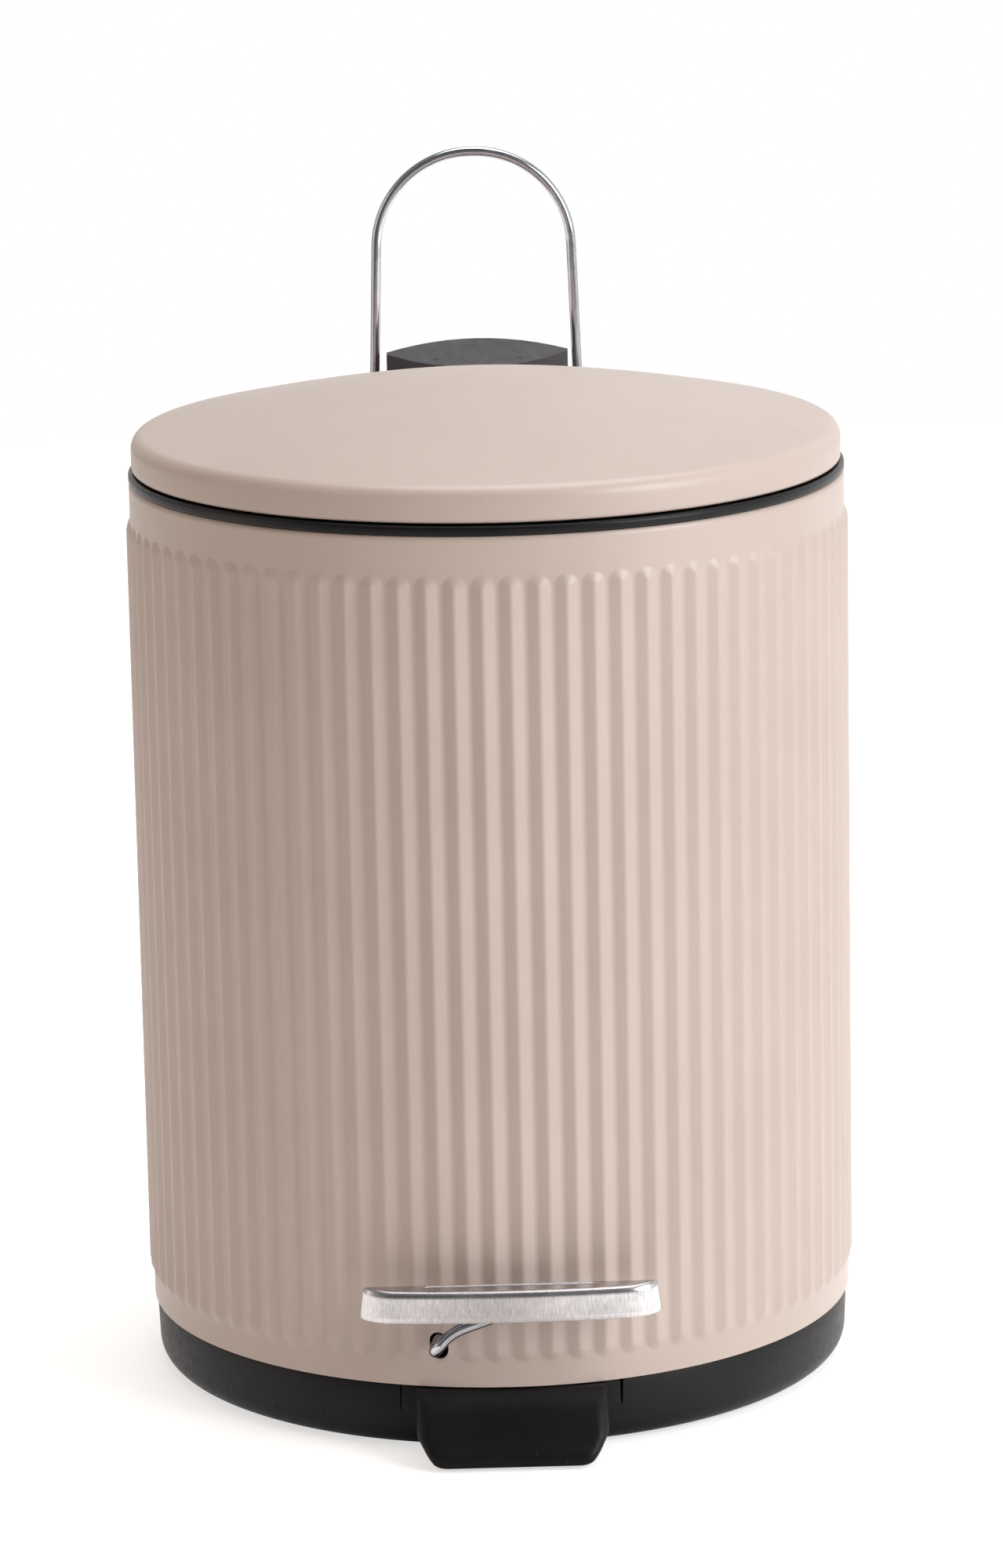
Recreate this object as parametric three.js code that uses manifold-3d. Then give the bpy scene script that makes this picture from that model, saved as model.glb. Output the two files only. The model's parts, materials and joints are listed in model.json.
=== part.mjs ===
// Pedal bin with a fluted steel body, a domed lid, a lift-out bucket and a wire carry handle.
// Millimetres, +Z up, the front (pedal) towards -Y. The origin is on the floor, on the body's axis.

import * as THREE from "three";
import { mergeVertices } from "three/addons/utils/BufferGeometryUtils.js";
import Module from "manifold-3d";

const wasm = await Module();
wasm.setup();

// ---------------------------------------------------------------- driving dimensions

const clearance = 0.3; // between two pieces that touch or slide
const sheet = 0.6; // steel sheet of the body and the lid
const plastic = 2; // wall of the moulded pieces

// Fluted body
const shellRadius = 101.4; // outside of the plain bands
const shellHeight = 239.2;
const shellFacets = 84; // facets of the plain bands, one for each flute
const fluteRise = 1.1; // crest above the plain band
const fluteStart = 7; // plain band below the flutes
const fluteEnd = 10.6; // plain band above the flutes
const fluteTip = 3; // length over which a flute rises to its full height
const seamWidth = 5; // lock seam at the back
const seamFlutes = 2; // flutes left out where the seam lies

// Foot
const footInset = 0.7; // wall of the foot inside the body's outside
const footHeight = 19.2;
const footLift = 1; // underside of the foot above the floor
const footRound = 13; // width of its rounded lower edge
const footRoundHeight = 9;
const footRim = 30.7; // width of the thick rim under the tray
const trayFloor = 10; // top of the floor inside the foot
const collarHeight = 6; // collar that the body slides over
const toeWidth = 51.5;
const toeStand = 13.3; // front of the toe ahead of the foot
const toeLip = 5; // height of the toe's lower edge line
const toeChamfer = 6; // width of its slanted lower corners
const slitOffset = 30.6; // slits beside the toe, from the centre
const slitWidth = 0.8;
const slitHeight = 7.6;
const padRadius = 7;
const padThickness = 1.5;
const padInset = 24.7; // circle of the pads inside the foot's wall

// Rim ring and bucket
const rimHeight = 2.8; // visible height of the ring above the body
const rimProud = 0.1; // outside of the ring beyond the body
const rimWidth = 15; // from the ring's outside to its mouth
const ledgeDrop = 4.4; // ledge below the top of the ring
const rimSkirt = 8; // depth of the skirt inside the body
const bucketPlay = 2; // between the bucket's wall and the ring's mouth
const bucketTaper = 7.5; // how much the bucket's wall draws in downwards
const bucketWall = 1.5;
const bucketLift = 33.4; // underside of the bucket above the foot
const flangeSeat = 6.5; // how far the bucket's flange lies on the ledge
const earHeight = 6.4;
const bailRest = 1.2; // bail above the bucket's flange
const earThickness = 2.4;
const bailWire = 2.5;
const bailInset = 4.3; // bail's wire inside the flange's edge

// Lid
const lidInset = 0.9; // lid's edge inside the body's outside
const lidGap = 0.6; // lid edge above the ring
const lidSkirt = 10.1; // height of the turned-down edge
const lidRound = 2.8; // radius of the soft crease above it
const domeRise = 14.05;
const domePower = 1.51;

// Lid hinge
const hingeStand = 5.6; // pin behind the body
const hingeRise = 4.2; // pin above the lid's edge
const lidTravel = 78; // degrees
const pinRadius = 1.5;
const pinHead = 1.2; // thickness of its heads and their overhang
const knuckleRadius = 4;
const knuckleWidth = 23.4;
const earWidth = 4.5;
const hoodWidth = 54;
const hoodReach = 13.4; // front of the hood at its centre, inside the body's outside
const hoodDepth = 30;
const hoodRise = 9.3; // top of the hood above the lid's shoulder
const hoodArch = 4; // drop of the hood's top from its centre to its sides
const hoodLean = 0.21; // fall of its top towards the back
const hoodBulge = 5.3; // how far the middle of the hood's front stands forward
const hoodSlope = 34; // degrees, slope of the front facet
const lidScrewX = 12.5;
const lidScrewBack = 5; // lid's screws behind the hood's front
const screwCover = 1.6; // plastic left above the lid's screws
const liftWidth = 40; // width of the plate under the lid
const liftFront = 10; // its front edge ahead of the hood
const liftBack = 7.5; // its back edge behind the hood's front

// Bracket that carries the lid and the carry handle
const bracketDrop = 4; // top of the bracket below the body's top
const bracketHeight = 17;
const bracketDepth = 18.4; // back of the bracket behind the body
const bracketScrewX = 18;
const backingWidth = 48;
const screwRadius = 1.5;
const screwHeadRadius = 2.8;
const screwHead = 1.8;

// Carry handle
const handleWire = 2.9;
const handleInset = 4.3; // handle's wire ahead of the bracket's back
const handleDrop = 7.4; // its turned-in ends below the bracket's top
const handleRise = 88.2; // centre of the wire at the top of the arch, above the ends
const handleSide = 1.4; // its wire beside the hood, at the level of the arch's top
const handleBend = 29;
const handleSplay = 0.0327; // outward lean of each leg
const handleTurnIn = 9; // length of each turned-in end

// Pedal lever and push rod
const leverWire = 3.2;
const pivotInset = 31.4; // lever's pivot behind the body's front
const pivotRise = 14.3; // and above the foot
const leverEndPlay = 4.05; // lever's end ahead of the push rod
const leverEndHalf = 6;
const crankHalf = 16; // half length of the stretch that turns in the saddles
const elbowPlace = new THREE.Vector3(-21.6, -12.8, -0.1); // from the body's front at the pivot's height
const kneePlace = new THREE.Vector3(-17, -12.1, 5.8);
const clipX = 20; // middle of the clip under the plate
const clipHalf = 5;
const slotWidth = 5.1; // hole in the body that the lever passes through
const saddleX = 8;
const saddleWidth = 6.5;
const saddleDepth = 9;
const capHeight = 3.6;
const rodWire = 2.6;
const liftArm = 17; // from the hinge axis to the push rod's eye
const rodArmShare = 0.85; // the rod stands at this share of liftArm ahead of the hinge
const tabThickness = 1.5;
const tabX = 3;
const tabHalf = 4; // half width of the tab round its slot
const liftGauge = 1.2; // sheet of the lift plate and the backing plate
const guideHeight = 7;
const guideWall = 1.7;

// Pedal plate
const plateWidth = 83;
const plateFrontBend = 9; // radius of the plan's front corners
const plateBackBend = 1.5;
const plateStand = 17.1; // front of the plate ahead of the body
const plateDepth = 10.5;
const plateRise = 18.7; // top of the plate above the pivot
const plateSkirt = 8.8;
const plateSheet = 0.8;
const plateFlare = 1; // how far the skirt spreads downwards
const panelWidth = 49; // recessed tread panel
const panelDepth = 4.4;
const panelSink = 0.35;

// ---------------------------------------------------------------- values that follow

const shellBottom = footHeight;
const shellTop = shellBottom + shellHeight;
const shellBore = shellRadius - sheet;
const footRadius = shellRadius - footInset;
const toeReach = footRadius + toeStand;
const padCircle = footRadius - padInset;
const rimRadius = shellRadius + rimProud;
const rimMouth = rimRadius - rimWidth;
const rimTop = shellTop + rimHeight;
const ledgeZ = rimTop - ledgeDrop;
const flangeRadius = rimMouth + flangeSeat;
const flangeTop = ledgeZ + clearance + bucketWall;
const bucketTopRadius = rimMouth - bucketPlay;
const bucketBaseRadius = bucketTopRadius - bucketTaper;
const bucketBase = footHeight + bucketLift;
const bailRadius = flangeRadius - bailInset;
const bailZ = flangeTop + bailWire / 2 + bailRest + 2 * clearance;
const lidRadius = shellRadius - lidInset;
const lidEdgeZ = rimTop + lidGap;
const lidShoulder = lidEdgeZ + lidSkirt;
const hingeY = shellRadius + hingeStand;
const hingeZ = lidEdgeZ + hingeRise;
const hoodFront = shellRadius - hoodReach;
const hoodBack = hoodFront + hoodDepth;
const hoodTop = lidShoulder + hoodRise;
const hoodBottom = hingeZ + clearance + 0.2;
const bracketWidth = hoodWidth;
const bracketTop = shellTop - bracketDrop;
const bracketBack = shellRadius + bracketDepth;
const handleY = bracketBack - handleInset;
const handleZ = bracketTop - handleDrop;
const handleTopZ = handleZ + handleRise;
const handleTopHalf = hoodWidth / 2 + handleSide;
const handleFootHalf = handleTopHalf + handleRise * handleSplay;
const halfTravel = THREE.MathUtils.degToRad(lidTravel / 2);
const rodRise = 2 * liftArm * Math.sin(halfTravel);
const rodY = hingeY - rodArmShare * liftArm;
const rodTopZ = hingeZ - liftArm * Math.sin(halfTravel);
const pivotY = pivotInset - shellRadius;
const pivotZ = footHeight + pivotRise;
const elbow = new THREE.Vector3(0, -shellRadius, pivotZ).add(elbowPlace);
const knee = new THREE.Vector3(0, -shellRadius, pivotZ).add(kneePlace);
const leverEndY = rodY - leverEndPlay;
const leverArm = leverEndY - pivotY;
const leverSwing = 2 * Math.asin(rodRise / 2 / leverArm); // radians, centred on the horizontal
const leverEndZ = pivotZ - leverArm * Math.sin(leverSwing / 2);
const rodFootZ = leverEndZ + leverWire / 2 + clearance + rodWire / 2;
const plateFrontY = -shellRadius - plateStand;
const plateTop = pivotZ + plateRise;
const wireUnderPlateZ = plateTop - plateSheet - clearance - leverWire / 2;
const wireUnderPlateY = plateFrontY + plateDepth / 2;

// ---------------------------------------------------------------- materials

const finish = (color, roughness, metalness) => () =>
  new THREE.MeshStandardMaterial({ color, roughness, metalness });
const powderCoat = finish(0xcdbbb0, 0.5, 0.1);
const blackPlastic = finish(0x242226, 0.45, 0);
const bucketPlastic = finish(0x2e2d31, 0.5, 0);
const brushedSteel = finish(0xa8a7aa, 0.35, 1);
const brightWire = finish(0xc9cbce, 0.2, 1);
const zincSteel = finish(0x9fa3a6, 0.4, 1);
const padFoam = finish(0x1b1b1c, 0.95, 0);

// ---------------------------------------------------------------- building blocks

// A closed geometry of any three.js class as a solid with its faces out.
function solid(geometry) {
  const bare = new THREE.BufferGeometry().setAttribute("position", geometry.getAttribute("position"));
  if (geometry.index) bare.setIndex(geometry.index);
  const merged = mergeVertices(bare, 1e-4);
  const triVerts = new Uint32Array(merged.index.array);
  const vertProperties = merged.attributes.position.array;
  const make = () => new wasm.Manifold(new wasm.Mesh({ numProp: 3, vertProperties, triVerts }));
  const first = make();
  if (first.volume() > 0) return first;
  for (let i = 0; i < triVerts.length; i += 3)
    [triVerts[i + 1], triVerts[i + 2]] = [triVerts[i + 2], triVerts[i + 1]];
  return make();
}

const join = (...pieces) => pieces.reduce((all, piece) => all.add(piece));
const cut = (body, ...tools) => tools.reduce((rest, tool) => rest.subtract(tool), body);

// A named mesh in the group.
const bin = new THREE.Group();
function part(name, body, material) {
  const { vertProperties, triVerts } = body.getMesh();
  const geometry = new THREE.BufferGeometry()
    .setAttribute("position", new THREE.BufferAttribute(new Float32Array(vertProperties), 3))
    .setIndex(new THREE.BufferAttribute(new Uint32Array(triVerts), 1));
  geometry.computeVertexNormals();
  const mesh = new THREE.Mesh(geometry, material());
  mesh.name = name;
  bin.add(mesh);
}

function box([x0, y0, z0], [x1, y1, z1]) {
  const geometry = new THREE.BoxGeometry(x1 - x0, y1 - y0, z1 - z0);
  return solid(geometry.translate((x0 + x1) / 2, (y0 + y1) / 2, (z0 + z1) / 2));
}

// A cylinder from one point to another.
function rod(from, to, radius, sides = 20) {
  const start = new THREE.Vector3(...from);
  const run = new THREE.Vector3(...to).sub(start);
  const geometry = new THREE.CylinderGeometry(radius, radius, run.length(), sides);
  geometry.translate(0, run.length() / 2, 0);
  const turn = new THREE.Quaternion().setFromUnitVectors(new THREE.Vector3(0, 1, 0), run.normalize());
  return solid(geometry.applyQuaternion(turn).translate(...start));
}

// A profile of [radius, height] pairs turned about the vertical axis.
function turned(profile, segments) {
  const points = profile.map(([r, z]) => new THREE.Vector2(r, z));
  return solid(new THREE.LatheGeometry(points, segments).rotateX(Math.PI / 2));
}

const extruded = (shape, depth, curveSegments) =>
  new THREE.ExtrudeGeometry(shape, { depth, bevelEnabled: false, curveSegments });

// An outline in (y, z), as thick as the span from x0 to x1.
function acrossX(shape, x0, x1) {
  const swap = new THREE.Matrix4().set(0, 0, 1, x0, 1, 0, 0, 0, 0, 1, 0, 0, 0, 0, 0, 1);
  return solid(extruded(shape, x1 - x0, 6).applyMatrix4(swap));
}

// An outline in (x, y), from z0 up to z1.
function upright(shape, z0, z1) {
  return solid(extruded(shape, z1 - z0, 8).translate(0, 0, z0));
}

// An outline in (x, z), from y0 back to y1. Behind levelY it sinks by lean for each unit.
function alongY(shape, y0, y1, lean = 0, levelY = y0) {
  const sink = new THREE.Matrix4().makeShear(0, 0, 0, -lean, 0, 0).setPosition(0, 0, lean * levelY);
  return solid(extruded(shape, y1 - y0, 12).rotateX(Math.PI / 2).translate(0, y1, 0).applyMatrix4(sink));
}

// A cylinder along X of the given half length, centred on x.
const rodX = (x, half, y, z, radius, sides = 20) => rod([x - half, y, z], [x + half, y, z], radius, sides);

const outline = (points) => new THREE.Shape(points.map(([a, b]) => new THREE.Vector2(a, b)));

// A closed solid from flat lists of coordinates and corner numbers.
function skin(positions, index) {
  const corners = new THREE.Float32BufferAttribute(positions, 3);
  return solid(new THREE.BufferGeometry().setAttribute("position", corners).setIndex(index));
}

// A closed round-ended slot along the line from a to b.
function slotShape([ax, ay], [bx, by], halfWidth) {
  const angle = Math.atan2(by - ay, bx - ax);
  const shape = new THREE.Shape();
  shape.absarc(bx, by, halfWidth, angle - Math.PI / 2, angle + Math.PI / 2);
  shape.absarc(ax, ay, halfWidth, angle + Math.PI / 2, angle + Math.PI * 1.5);
  return shape.closePath();
}

// Straight runs of wire with a round bend at each inner corner.
class BentWire extends THREE.Curve {
  constructor(corners, bends, facetAngle = 18) {
    super();
    this.stations = [];
    const last = corners.length - 1;
    const heading = corners.slice(1).map((corner, i) => corner.clone().sub(corners[i]).normalize());
    this.stations.push({ at: corners[0], along: heading[0] });
    for (let i = 1; i < last; i++) {
      const [into, out, radius] = [heading[i - 1], heading[i], bends[i - 1]];
      const turn = into.angleTo(out);
      const start = corners[i].clone().addScaledVector(into, -radius * Math.tan(turn / 2));
      const inward = out.clone().addScaledVector(into, -Math.cos(turn)).normalize();
      const steps = Math.ceil(THREE.MathUtils.radToDeg(turn) / facetAngle);
      for (let k = 0; k <= steps; k++) {
        const a = (turn * k) / steps;
        this.stations.push({
          at: start
            .clone()
            .addScaledVector(into, radius * Math.sin(a))
            .addScaledVector(inward, radius * (1 - Math.cos(a))),
          along: into.clone().multiplyScalar(Math.cos(a)).addScaledVector(inward, Math.sin(a)),
        });
      }
    }
    this.stations.push({ at: corners[last], along: heading[last - 1] });
  }
  station(t) {
    return this.stations[Math.round(t * (this.stations.length - 1))];
  }
  getPoint(t, target = new THREE.Vector3()) {
    return target.copy(this.station(t).at);
  }
  getPointAt(u, target) {
    return this.getPoint(u, target);
  }
  getTangentAt(u, target = new THREE.Vector3()) {
    return target.copy(this.station(u).along);
  }
}

function wire(corners, bends, diameter, sides = 8, facetAngle = 18) {
  const points = corners.map((corner) => new THREE.Vector3(...corner));
  const path = new BentWire(points, bends, facetAngle);
  const section = new THREE.Shape();
  for (let i = 0; i < sides; i++) {
    const a = (2 * Math.PI * (i + 0.5)) / sides;
    section[i ? "lineTo" : "moveTo"]((Math.cos(a) * diameter) / 2, (Math.sin(a) * diameter) / 2);
  }
  const steps = path.stations.length - 1;
  return solid(new THREE.ExtrudeGeometry(section, { steps, extrudePath: path, bevelEnabled: false }));
}

// A closed skin through loops of points. Neighbouring loops may differ in count: they are stitched by angle.
function stitched(loops) {
  const points = loops.flat();
  const starts = loops.map((_, i) => loops.slice(0, i).reduce((sum, loop) => sum + loop.length, 0));
  const index = [];
  loops.forEach((loop, k) => {
    const next = (k + 1) % loops.length;
    const [a, b] = [loop, loops[next]];
    let [i, j] = [0, 0];
    while (i < a.length || j < b.length) {
      const angleA = i < a.length ? a[i + 1]?.angle ?? 2 * Math.PI + a[0].angle : Infinity;
      const angleB = j < b.length ? b[j + 1]?.angle ?? 2 * Math.PI + b[0].angle : Infinity;
      const [pa, pb] = [starts[k] + (i % a.length), starts[next] + (j % b.length)];
      if (angleA <= angleB) index.push(pa, starts[k] + (++i % a.length), pb);
      else index.push(pa, starts[next] + (++j % b.length), pb);
    }
  });
  const positions = points.flatMap(({ angle, r, z }) => [r * Math.cos(angle), r * Math.sin(angle), z]);
  return skin(positions, index);
}

// A closed skin through loops of equal count, with a flat fan over the first and the last.
function capped(loops) {
  const count = loops[0].length;
  const positions = loops.flat(2);
  const index = [];
  for (let k = 0; k + 1 < loops.length; k++)
    for (let i = 0; i < count; i++) {
      const [a, b, j] = [k * count, (k + 1) * count, (i + 1) % count];
      index.push(a + i, a + j, b + j, a + i, b + j, b + i);
    }
  const end = (loops.length - 1) * count;
  for (let i = 1; i + 1 < count; i++) index.push(0, i + 1, i, end, end + i, end + i + 1);
  return skin(positions, index);
}

// ---------------------------------------------------------------- fluted body

// One loop of the sheet at height z: plain, or with each flute's flanks and crest.
function shellLoop(radius, z, fluted) {
  const pitch = (2 * Math.PI) / shellFacets;
  const corners = fluted ? [[0.06, 0], [0.45, fluteRise], [0.55, fluteRise], [0.94, 0]] : [[0, 0]];
  const back = shellFacets / 4; // the flute number at +Y
  const loop = [];
  for (let n = 0; n < shellFacets; n++) {
    const plain = Math.abs(n + 0.5 - back) < seamFlutes / 2 + 0.1;
    for (const [share, rise] of corners)
      loop.push({ angle: (n + share) * pitch, r: radius + (plain ? 0 : rise), z });
  }
  return loop;
}

function fluteLevels() {
  return [
    [shellBottom, false],
    [shellBottom + fluteStart, false],
    [shellBottom + fluteStart + fluteTip, true],
    [shellTop - fluteEnd - fluteTip, true],
    [shellTop - fluteEnd, false],
    [shellTop, false],
  ];
}

function leverSlot() {
  const dropAtWall = (shellRadius + pivotY) * Math.sin(leverSwing);
  const topZ = pivotZ + leverWire / 2 + clearance - slotWidth / 2;
  const lowZ = pivotZ - dropAtWall - leverWire / 2 - clearance + slotWidth / 2;
  const x = THREE.MathUtils.mapLinear(-shellRadius, pivotY, elbow.y, -crankHalf, elbow.x);
  return alongY(slotShape([x, lowZ], [x, topZ], slotWidth / 2), -shellRadius - 9, -shellRadius + 9);
}

const bracketScrews = [-bracketScrewX, bracketScrewX].map((x) => ({ x, z: bracketTop - bracketHeight / 2 }));

// Bores for the bracket's screws, from y0 back to y1.
const bracketHoles = (y0, y1) =>
  bracketScrews.map(({ x, z }) => rod([x, y0, z], [x, y1, z], screwRadius + clearance, 12));

function outerShell() {
  const outside = fluteLevels().map(([z, fluted]) => shellLoop(shellRadius, z, fluted));
  const inside = fluteLevels().reverse().map(([z, fluted]) => shellLoop(shellBore, z, fluted));
  const seam = box(
    [-seamWidth / 2, shellRadius - sheet / 2, shellBottom],
    [seamWidth / 2, shellRadius + sheet, shellTop],
  );
  const holes = bracketHoles(shellBore - 5, shellRadius + 5);
  return cut(join(stitched([...outside, ...inside]), seam), leverSlot(), ...holes);
}

// ---------------------------------------------------------------- foot with its toe

function toeProfile() {
  const top = footHeight - clearance;
  const shape = new THREE.Shape();
  shape.moveTo(-footRadius + 12, footLift);
  shape.lineTo(-toeReach + 1.5, footLift);
  shape.quadraticCurveTo(-toeReach, footLift, -toeReach, toeLip);
  shape.quadraticCurveTo(-toeReach + 0.6, top - 4, -footRadius - 2.2, top - 0.5);
  shape.quadraticCurveTo(-footRadius - 1, top, -footRadius + 1, top);
  shape.lineTo(-footRadius + 12, top);
  return shape;
}

function toeFront() {
  const half = toeWidth / 2;
  return outline([
    [-half + 1, footHeight + 1],
    [-half, footHeight - 3],
    [-half, footLift + 8],
    [-half + toeChamfer, footLift + 1],
    [-half + toeChamfer + 2, footLift],
    [half - toeChamfer - 2, footLift],
    [half - toeChamfer, footLift + 1],
    [half, footLift + 8],
    [half, footHeight - 3],
    [half - 1, footHeight + 1],
  ]);
}

function footProfile() {
  const steps = 5;
  const edge = [];
  for (let i = 0; i <= steps; i++) {
    const a = (Math.PI / 2) * (i / steps);
    edge.push([
      footRadius - 0.8 - footRound * (1 - Math.sin(a)),
      footLift + footRoundHeight * (1 - Math.cos(a)),
    ]);
  }
  const collarOuter = shellBore - clearance;
  return [
    [footRadius - footRim, footLift],
    ...edge,
    [footRadius, footHeight - clearance],
    [collarOuter, footHeight - clearance],
    [collarOuter, footHeight + collarHeight],
    [collarOuter - plastic, footHeight + collarHeight],
    [collarOuter - plastic, trayFloor + 2],
    [collarOuter - plastic - 2, trayFloor],
    [0, trayFloor],
    [0, trayFloor - plastic],
    [footRadius - footRim - 3, trayFloor - plastic],
    [footRadius - footRim, footLift],
  ];
}

const padPlaces = [45, 135, 225, 315].map((degrees) => {
  const a = THREE.MathUtils.degToRad(degrees);
  return [padCircle * Math.cos(a), padCircle * Math.sin(a)];
});

// Block from z0 to z1 with a groove for the lever's turning stretch.
function saddleBlock(x, z0, z1) {
  const [halfX, halfY] = [saddleWidth / 2, saddleDepth / 2];
  const block = box([x - halfX, pivotY - halfY, z0], [x + halfX, pivotY + halfY, z1]);
  return block.subtract(rodX(x, saddleWidth, pivotY, pivotZ, leverWire / 2 + clearance, 16));
}

// Post on the tray floor, open at the top.
function saddle(x) {
  return saddleBlock(x, trayFloor - 1, pivotZ - clearance / 2);
}

// Eye round the push rod, on a web that reaches back to backY.
function rodGuide(z0, backY) {
  const outer = rodWire / 2 + clearance + guideWall;
  const web = box([-outer * 0.7, rodY, z0], [outer * 0.7, backY, z0 + guideHeight]);
  return rod([0, rodY, z0], [0, rodY, z0 + guideHeight], outer).add(web);
}

const rodBore = () => rod([0, rodY, 0], [0, rodY, shellTop], rodWire / 2 + clearance, 12);
const lowerGuideZ = rodFootZ + rodRise + rodWire + 4;

function baseTray() {
  const front = -footRadius;
  const toeSide = acrossX(toeProfile(), -toeWidth / 2, toeWidth / 2);
  const toe = toeSide.intersect(alongY(toeFront(), front - 30, front + 30));
  const postBack = shellBore - clearance - plastic / 2;
  const guidePost = box([-5, rodY + 3, trayFloor - 1], [5, postBack, lowerGuideZ + guideHeight]);
  const posts = join(saddle(-saddleX), saddle(saddleX), guidePost, rodGuide(lowerGuideZ, rodY + 5));
  const slits = [-slitOffset, slitOffset].map((x) =>
    box([x - slitWidth / 2, front - 2, footHeight - slitHeight], [x + slitWidth / 2, front + 12, footHeight]),
  );
  const padSeats = padPlaces.map(([x, y]) =>
    rod([x, y, footLift - 1], [x, y, padThickness + clearance], padRadius + clearance),
  );
  return cut(join(turned(footProfile(), 72), toe, posts), rodBore(), ...slits, ...padSeats);
}

function footPad([x, y]) {
  return rod([x, y, 0], [x, y, padThickness], padRadius);
}

// Snap cap that closes a saddle over the lever.
function leverCap(x) {
  return saddleBlock(x, pivotZ + clearance / 2, pivotZ + leverWire / 2 + capHeight);
}

// ---------------------------------------------------------------- rim ring

const notchHalf = 8; // half width of the gap at the back for the lid's tab and the push rod

function rimRing() {
  const inner = shellBore - clearance - plastic * 0.75;
  const profile = [
    [inner, shellTop - rimSkirt],
    [shellBore - clearance, shellTop - rimSkirt],
    [shellBore - clearance, shellTop + clearance],
    [rimRadius, shellTop + clearance],
    [rimRadius, rimTop - 1],
    [rimRadius - 1, rimTop],
    [flangeRadius + 2, rimTop],
    [flangeRadius + 1, rimTop - 0.8],
    [flangeRadius + 1, ledgeZ],
    [rimMouth, ledgeZ],
    [rimMouth, ledgeZ - plastic],
    [flangeRadius + 2.5, ledgeZ - plastic],
    [inner, ledgeZ - plastic - 2],
    [inner, shellTop - rimSkirt],
  ];
  const notch = box([-notchHalf, rimMouth - 4, ledgeZ - 6], [notchHalf, inner, rimTop + 1]);
  const guideZ = shellTop - rimSkirt - guideHeight - 5;
  const skirtZ = shellTop - rimSkirt;
  const tongueHalf = tabX - 2 * clearance;
  const tongue = box([-tongueHalf, inner - 2.2, guideZ], [tongueHalf, inner - 0.2, skirtZ + 2]);
  const root = box([-tongueHalf, inner - 2, skirtZ], [tongueHalf, inner + 1, skirtZ + 2]);
  const ring = cut(turned(profile, 72), notch);
  return cut(join(ring, tongue, root, rodGuide(guideZ, inner - 1)), rodBore());
}

// ---------------------------------------------------------------- bucket and its bail

function bucketBody() {
  const top = ledgeZ + clearance;
  const profile = [
    [0, bucketBase],
    [bucketBaseRadius - 2, bucketBase],
    [bucketBaseRadius, bucketBase + 2],
    [bucketTopRadius, top],
    [flangeRadius, top],
    [flangeRadius, flangeTop],
    [bucketTopRadius - bucketWall + 0.6, flangeTop],
    [bucketTopRadius - bucketWall, flangeTop - 1.5],
    [bucketBaseRadius - bucketWall, bucketBase + 2 + bucketWall],
    [bucketBaseRadius - bucketWall - 2, bucketBase + bucketWall],
    [0, bucketBase + bucketWall],
  ];
  const side = notchHalf + 1;
  const notch = box([-side, bucketTopRadius + 0.5, top - 1], [side, flangeRadius + 2, flangeTop + 1]);
  const ear = new THREE.Shape();
  ear.moveTo(4, flangeTop - 0.6);
  ear.lineTo(4, bailZ);
  ear.absarc(0, bailZ, earHeight - (bailZ - flangeTop), 0, Math.PI);
  ear.lineTo(-4, flangeTop - 0.6);
  const earX = bucketTopRadius - bucketWall / 2 + 0.6;
  const ears = [-earX, earX].map((x) => acrossX(ear, x - earThickness / 2, x + earThickness / 2));
  const bore = rodX(0, bailRadius, 0, bailZ, bailWire / 2 + clearance, 12);
  return cut(join(turned(profile, 48), ...ears), notch, bore);
}

function bucketBail() {
  const r = bailRadius;
  const end = bucketTopRadius - earThickness;
  const plan = [[-end, 0], [-r, 0], [-r, -r], [r, -r], [r, 0], [end, 0]];
  const corners = plan.map(([x, y]) => [x, y, bailZ]);
  return wire(corners, [3, r - 4, r - 4, 3], bailWire, 8, 12);
}

// ---------------------------------------------------------------- lid

const lidCrown = lidRadius - lidRound; // where the dome begins

const domeHeight = (r) => lidShoulder + domeRise * (1 - (r / lidCrown) ** domePower);

// The lid's outline from the axis to the lower edge, moved inwards by inset.
function lidOutline(inset, rings = 7) {
  const edgeSlope = Math.atan((domeRise * domePower) / lidCrown);
  const start = Math.PI / 2 - edgeSlope; // where the crease takes over from the dome
  const domeEnd = lidCrown + lidRound * Math.cos(start);
  const centreZ = domeHeight(domeEnd) - lidRound * Math.sin(start);
  const points = [];
  for (let i = 0; i < rings; i++) {
    const r = domeEnd * Math.sin((Math.PI / 2) * (i / rings));
    points.push([r, domeHeight(r) - inset]);
  }
  for (let i = 0; i <= 4; i++) {
    const a = start * (1 - i / 4);
    const r = lidRound - inset;
    points.push([lidCrown + r * Math.cos(a), centreZ + r * Math.sin(a)]);
  }
  points.push([lidRadius - inset, lidEdgeZ]);
  return points;
}

// The plane of the hood's front facet, which rises from the lid.
const facetSlope = Math.tan(THREE.MathUtils.degToRad(hoodSlope));
const hoodFacet = (y) => domeHeight(hoodFront) + (y - hoodFront) * facetSlope;
const hoodCrestY = hoodFront + (hoodTop - domeHeight(hoodFront)) / facetSlope;

const lidScrewY = hoodFront + lidScrewBack;
const lidScrewTip = hoodFacet(lidScrewY) - screwCover;
const lidScrews = [-lidScrewX, lidScrewX].map((x) => ({ x, y: lidScrewY }));

// Bores for the lid's screws, closed a clearance beyond their tips.
function lidHoles() {
  const radius = screwRadius + clearance;
  return lidScrews.map(({ x, y }) => rod([x, y, lidEdgeZ], [x, y, lidScrewTip + clearance], radius, 12));
}

function lidShell() {
  return cut(turned([...lidOutline(0), ...lidOutline(sheet).reverse()], 72), ...lidHoles());
}

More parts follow.
